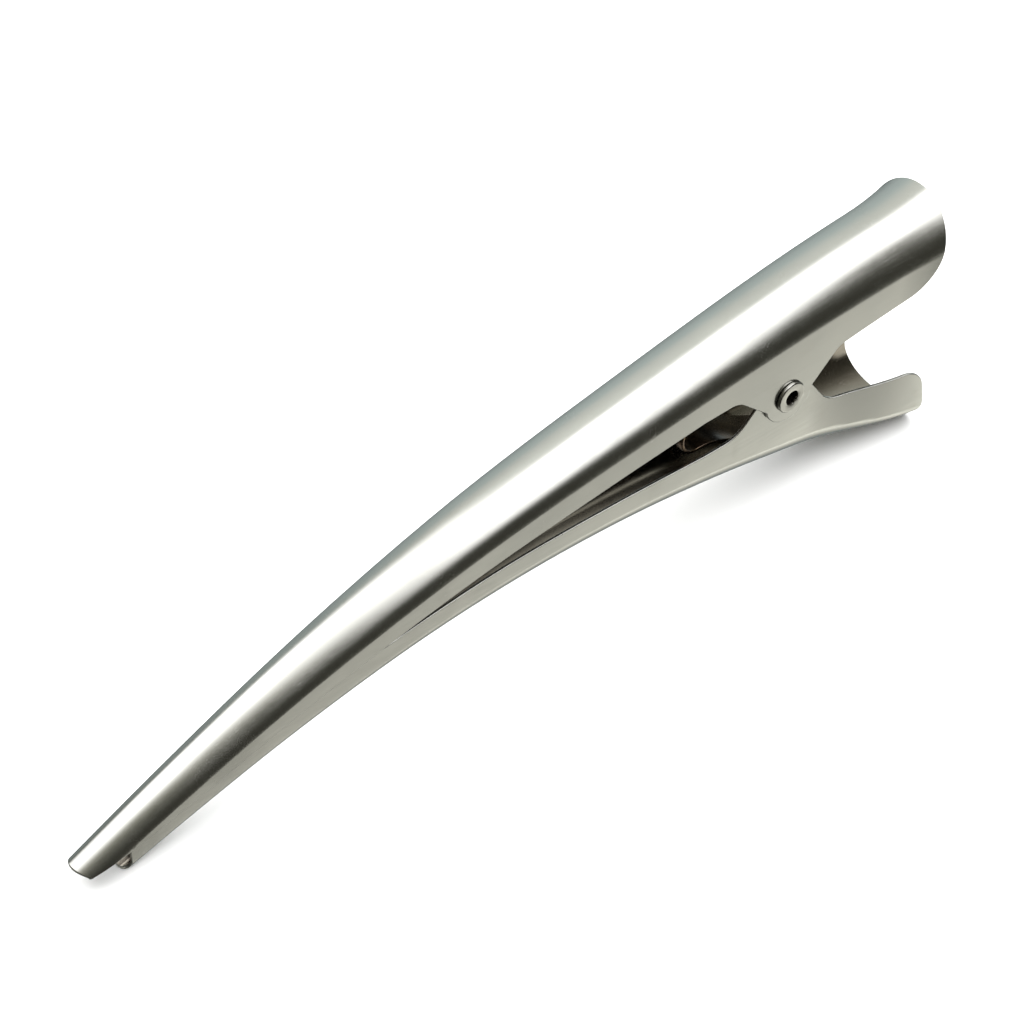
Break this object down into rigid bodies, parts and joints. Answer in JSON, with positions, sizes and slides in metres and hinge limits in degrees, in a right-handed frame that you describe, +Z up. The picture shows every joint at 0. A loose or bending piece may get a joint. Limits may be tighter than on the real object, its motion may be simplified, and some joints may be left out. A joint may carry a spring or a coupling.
{
  "type": "sectioning clip",
  "caption": "Long curved metal hair sectioning clip: two nested sheet-steel jaws hinged on a rivet, closed by a bent leaf spring.",
  "frame": {"origin": "middle of the clip's bounding box, at the height of the surface that it stands on", "axes": "+X from the tip of the jaws to the handles, +Y across the clip along the rivet, +Z up"},
  "size_m": [0.1324, 0.0146, 0.0352],
  "materials": {
    "satin_steel": "satin",
    "rivet_steel": "satin",
    "spring_steel": "satin"
  },
  "bodies": {
    "lower": {"lower_jaw": "satin_steel", "leaf_spring": "spring_steel"},
    "upper": {"upper_jaw": "satin_steel", "pivot_rivet": "rivet_steel"}
  },
  "joints": [
    {"name": "jaw_hinge", "type": "hinge", "parent": "lower", "child": "upper", "pos_m": [0.0397, 0, 0.018], "axis": [0, 1, 0], "range_deg": [0, 28], "stiffness_Nm_per_rad": 0.14, "springref_deg": -20.05, "deforming": ["leaf_spring"]}
  ]
}
